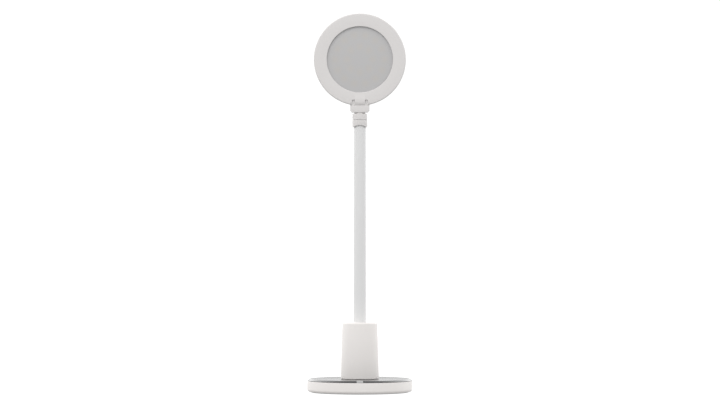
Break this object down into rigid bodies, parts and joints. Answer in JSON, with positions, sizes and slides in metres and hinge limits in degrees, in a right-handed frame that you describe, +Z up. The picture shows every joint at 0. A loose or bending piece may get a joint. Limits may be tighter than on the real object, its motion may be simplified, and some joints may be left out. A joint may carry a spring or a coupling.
{
  "type": "desk fill light",
  "caption": "Round-headed LED fill light: opal disc in a ring bezel, tilting and swivelling on a flexible sleeved stem, over a tapered tower and weighted round base.",
  "frame": {"origin": "centre of the foot ring's underside, on the surface that the light stands on", "axes": "+Z up along the stem; the light faces -Y; +X is to the right as seen from the front"},
  "size_m": [0.116, 0.116, 0.4165],
  "materials": {
    "white_shell": "fine satin moulded ABS, very slightly warm white",
    "white_sleeve": "soft matte silicone",
    "dark_plate": "polished black",
    "key_lens": "translucent pale grey lens",
    "opal": "opal diffusing acrylic with a faint warm tint from the LEDs behind it",
    "white_inner": "matt white reflector plastic",
    "steel": "plain zinc-plated steel",
    "brass": "turned brass",
    "fibre": "dark grey friction fibre",
    "nylon": "natural nylon",
    "circuit_board": "green solder mask",
    "led_aluminium": "white-masked aluminium LED board with yellow chips",
    "battery_foil": "silver pouch foil",
    "copper": "bare copper foil",
    "foot_rubber": "matt pale grey silicone"
  },
  "bodies": {
    "base": {"foot_ring": "foot_rubber", "base_bottom_cover": "white_shell", "base_shell": "white_shell", "ballast_plate": "steel", "top_plate": "dark_plate", "touch_key": "key_lens", "touch_electrode": "copper", "control_board": "circuit_board", "usb_socket": "steel", "battery_pouch": "battery_foil", "base_screw_1": "steel", "base_screw_2": "steel", "base_screw_3": "steel", "base_screw_4": "steel", "tower_shell": "white_shell", "tower_screw_1": "steel", "tower_screw_2": "steel", "tower_screw_3": "steel", "root_washer": "steel", "root_nut": "brass", "neck_root_stud": "steel", "neck_sleeve_0": "white_sleeve"},
    "link_1": {"neck_link_1": "steel", "neck_sleeve_1": "white_sleeve"},
    "link_2": {"neck_link_2": "steel", "neck_sleeve_2": "white_sleeve"},
    "link_3": {"neck_link_3": "steel", "neck_sleeve_3": "white_sleeve"},
    "link_4": {"neck_link_4": "steel", "neck_sleeve_4": "white_sleeve"},
    "link_5": {"neck_link_5": "steel", "neck_sleeve_5": "white_sleeve"},
    "link_6": {"neck_link_6": "steel", "neck_sleeve_6": "white_sleeve"},
    "link_7": {"neck_link_7": "steel", "neck_sleeve_7": "white_sleeve"},
    "tip": {"neck_tip_stud": "steel", "neck_sleeve_8": "white_sleeve", "collar_lower": "white_shell", "swivel_washer": "fibre"},
    "swivel": {"collar_upper": "white_shell", "swivel_clip": "steel", "tilt_fork": "white_shell", "friction_washer_left": "nylon", "friction_washer_right": "nylon"},
    "head": {"head_bezel": "white_shell", "tilt_pin": "steel", "diffuser": "opal", "reflector": "white_inner", "led_board": "led_aluminium", "head_rear_cover": "white_shell", "head_screw_1": "steel", "head_screw_2": "steel", "head_screw_3": "steel", "head_screw_4": "steel"}
  },
  "joints": [
    {"name": "stem_bend", "type": "hinge", "parent": "base", "child": "link_1", "pos_m": [0, 0, 0.09036], "axis": [1, 0, 0], "range_deg": [-22.5, 22.5]},
    {"name": "stem_lean", "type": "hinge", "parent": "link_1", "child": "link_2", "pos_m": [0, 0, 0.11709], "axis": [0, 1, 0], "range_deg": [-22.5, 22.5]},
    {"name": "stem_bend_2", "type": "hinge", "parent": "link_2", "child": "link_3", "pos_m": [0, 0, 0.14381], "axis": [1, 0, 0], "range_deg": [-22.5, 22.5]},
    {"name": "stem_lean_2", "type": "hinge", "parent": "link_3", "child": "link_4", "pos_m": [0, 0, 0.17054], "axis": [0, 1, 0], "range_deg": [-22.5, 22.5]},
    {"name": "stem_bend_3", "type": "hinge", "parent": "link_4", "child": "link_5", "pos_m": [0, 0, 0.19726], "axis": [1, 0, 0], "range_deg": [-22.5, 22.5]},
    {"name": "stem_lean_3", "type": "hinge", "parent": "link_5", "child": "link_6", "pos_m": [0, 0, 0.22399], "axis": [0, 1, 0], "range_deg": [-22.5, 22.5]},
    {"name": "stem_bend_4", "type": "hinge", "parent": "link_6", "child": "link_7", "pos_m": [0, 0, 0.25071], "axis": [1, 0, 0], "range_deg": [-22.5, 22.5]},
    {"name": "stem_lean_4", "type": "hinge", "parent": "link_7", "child": "tip", "pos_m": [0, 0, 0.27744], "axis": [0, 1, 0], "range_deg": [-22.5, 22.5]},
    {"name": "head_swivel", "type": "hinge", "parent": "tip", "child": "swivel", "pos_m": [0, 0, 0.2994], "axis": [0, 0, 1], "range_deg": [-170, 170]},
    {"name": "head_tilt", "type": "hinge", "parent": "swivel", "child": "head", "pos_m": [0, 0, 0.32], "axis": [1, 0, 0], "range_deg": [-90, 45]}
  ],
  "couplings": [
    {"joint": "stem_bend_2", "follows": "stem_bend", "ratio": 1},
    {"joint": "stem_lean_2", "follows": "stem_lean", "ratio": 1},
    {"joint": "stem_bend_3", "follows": "stem_bend", "ratio": 1},
    {"joint": "stem_lean_3", "follows": "stem_lean", "ratio": 1},
    {"joint": "stem_bend_4", "follows": "stem_bend", "ratio": 1},
    {"joint": "stem_lean_4", "follows": "stem_lean", "ratio": 1}
  ]
}
